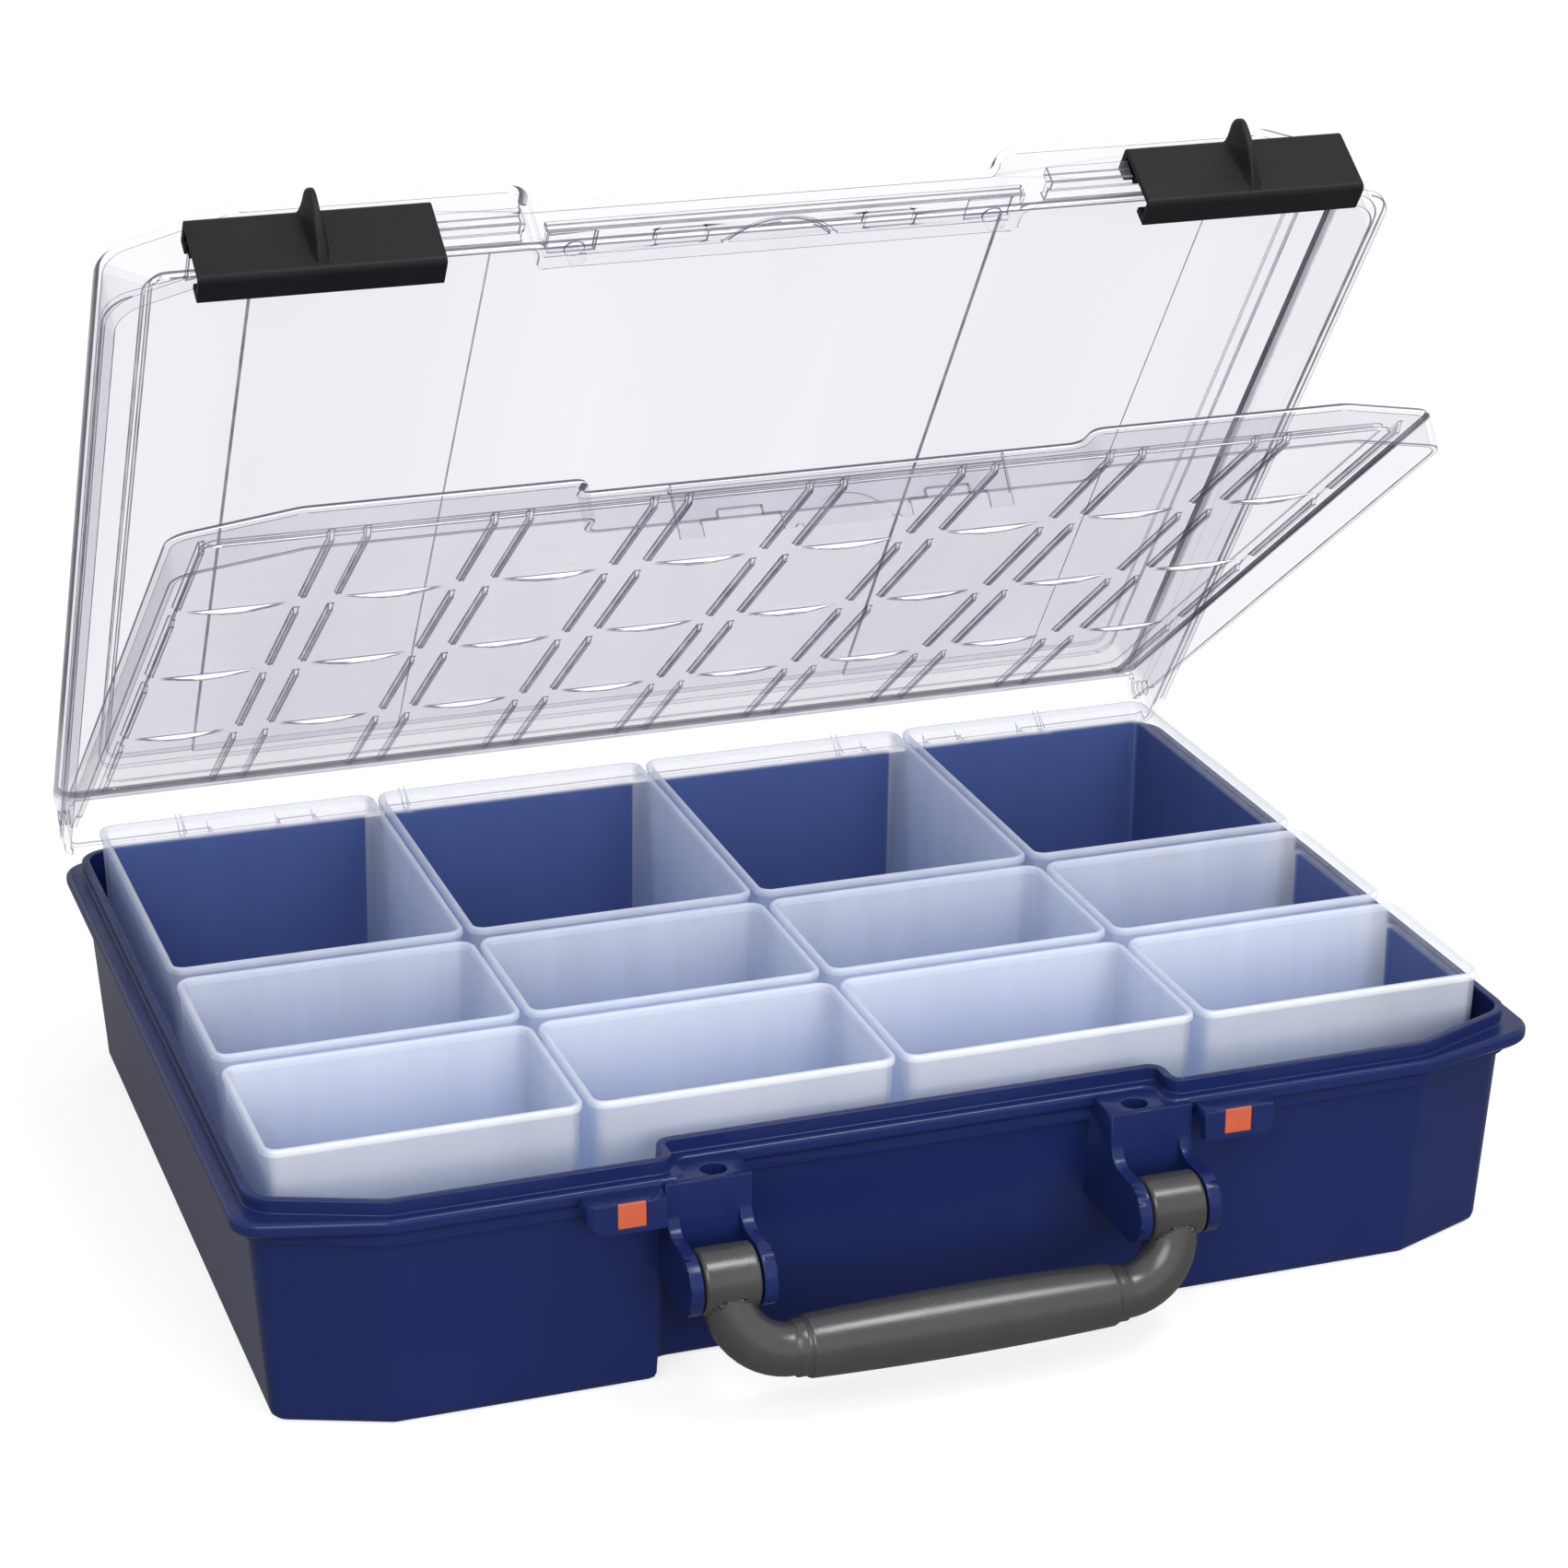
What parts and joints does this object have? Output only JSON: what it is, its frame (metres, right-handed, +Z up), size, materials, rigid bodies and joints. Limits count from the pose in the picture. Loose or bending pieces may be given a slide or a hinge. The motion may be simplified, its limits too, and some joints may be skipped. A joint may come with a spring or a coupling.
{
  "type": "assortment case",
  "caption": "Small-parts assortment case with a hinged clear lid, inner lid, sliding latches, folding handle and lift-out bins.",
  "frame": {"origin": "centre of the tray's flat underside", "axes": "+Z up, +X along the case's width to the right seen from the front, +Y from the handle to the hinge"},
  "size_m": [0.337, 0.2921, 0.2765],
  "materials": {
    "tray_plastic": "semi-gloss navy",
    "lid_plastic": "clear, polished",
    "inner_lid_plastic": "clear, polished",
    "latch_plastic": "matt black",
    "flag_plastic": "satin orange",
    "handle_plastic": "satin grey",
    "bin_plastic": "milky translucent"
  },
  "bodies": {
    "base": {"base_tray": "tray_plastic", "flag_left": "flag_plastic", "flag_right": "flag_plastic"},
    "lid": {"lid": "lid_plastic"},
    "inner_lid": {"inner_lid": "inner_lid_plastic"},
    "latch_left": {"latch_left": "latch_plastic"},
    "latch_right": {"latch_right": "latch_plastic"},
    "handle": {"handle": "handle_plastic"},
    "bin_back_1": {"bin_back_1": "bin_plastic"},
    "bin_back_2": {"bin_back_2": "bin_plastic"},
    "bin_back_3": {"bin_back_3": "bin_plastic"},
    "bin_back_4": {"bin_back_4": "bin_plastic"},
    "bin_mid_1": {"bin_mid_1": "bin_plastic"},
    "bin_mid_2": {"bin_mid_2": "bin_plastic"},
    "bin_mid_3": {"bin_mid_3": "bin_plastic"},
    "bin_mid_4": {"bin_mid_4": "bin_plastic"},
    "bin_front_1": {"bin_front_1": "bin_plastic"},
    "bin_front_2": {"bin_front_2": "bin_plastic"},
    "bin_front_3": {"bin_front_3": "bin_plastic"},
    "bin_front_4": {"bin_front_4": "bin_plastic"}
  },
  "joints": [
    {"name": "lid_hinge", "type": "hinge", "parent": "base", "child": "lid", "pos_m": [0, 0.124, 0.05645], "axis": [-1, 0, 0], "range_deg": [-54.7, 55]},
    {"name": "inner_lid_hinge", "type": "hinge", "parent": "lid", "child": "inner_lid", "pos_m": [0, 0.12955, 0.06773], "axis": [-1, 0, 0], "range_deg": [-19.3, 19.2]},
    {"name": "latch_left_slide", "type": "slide", "parent": "lid", "child": "latch_left", "axis": [-1, 0, 0], "range_m": [-0.0215, 0]},
    {"name": "latch_right_slide", "type": "slide", "parent": "lid", "child": "latch_right", "axis": [1, 0, 0], "range_m": [-0.0215, 0]},
    {"name": "handle_hinge", "type": "hinge", "parent": "base", "child": "handle", "pos_m": [0, -0.1354, 0.0365], "axis": [-1, 0, 0], "range_deg": [-20, 150]},
    {"name": "bin_back_1_lift", "type": "slide", "parent": "base", "child": "bin_back_1", "axis": [0, 0, 1], "range_m": [0, 0.01]},
    {"name": "bin_back_2_lift", "type": "slide", "parent": "base", "child": "bin_back_2", "axis": [0, 0, 1], "range_m": [0, 0.01]},
    {"name": "bin_back_3_lift", "type": "slide", "parent": "base", "child": "bin_back_3", "axis": [0, 0, 1], "range_m": [0, 0.01]},
    {"name": "bin_back_4_lift", "type": "slide", "parent": "base", "child": "bin_back_4", "axis": [0, 0, 1], "range_m": [0, 0.01]},
    {"name": "bin_mid_1_lift", "type": "slide", "parent": "base", "child": "bin_mid_1", "axis": [0, 0, 1], "range_m": [0, 0.07]},
    {"name": "bin_mid_2_lift", "type": "slide", "parent": "base", "child": "bin_mid_2", "axis": [0, 0, 1], "range_m": [0, 0.07]},
    {"name": "bin_mid_3_lift", "type": "slide", "parent": "base", "child": "bin_mid_3", "axis": [0, 0, 1], "range_m": [0, 0.07]},
    {"name": "bin_mid_4_lift", "type": "slide", "parent": "base", "child": "bin_mid_4", "axis": [0, 0, 1], "range_m": [0, 0.07]},
    {"name": "bin_front_1_lift", "type": "slide", "parent": "base", "child": "bin_front_1", "axis": [0, 0, 1], "range_m": [0, 0.07]},
    {"name": "bin_front_2_lift", "type": "slide", "parent": "base", "child": "bin_front_2", "axis": [0, 0, 1], "range_m": [0, 0.07]},
    {"name": "bin_front_3_lift", "type": "slide", "parent": "base", "child": "bin_front_3", "axis": [0, 0, 1], "range_m": [0, 0.07]},
    {"name": "bin_front_4_lift", "type": "slide", "parent": "base", "child": "bin_front_4", "axis": [0, 0, 1], "range_m": [0, 0.07]}
  ],
  "couplings": [
    {"joint": "inner_lid_hinge", "follows": "lid_hinge", "ratio": -0.34552}
  ]
}
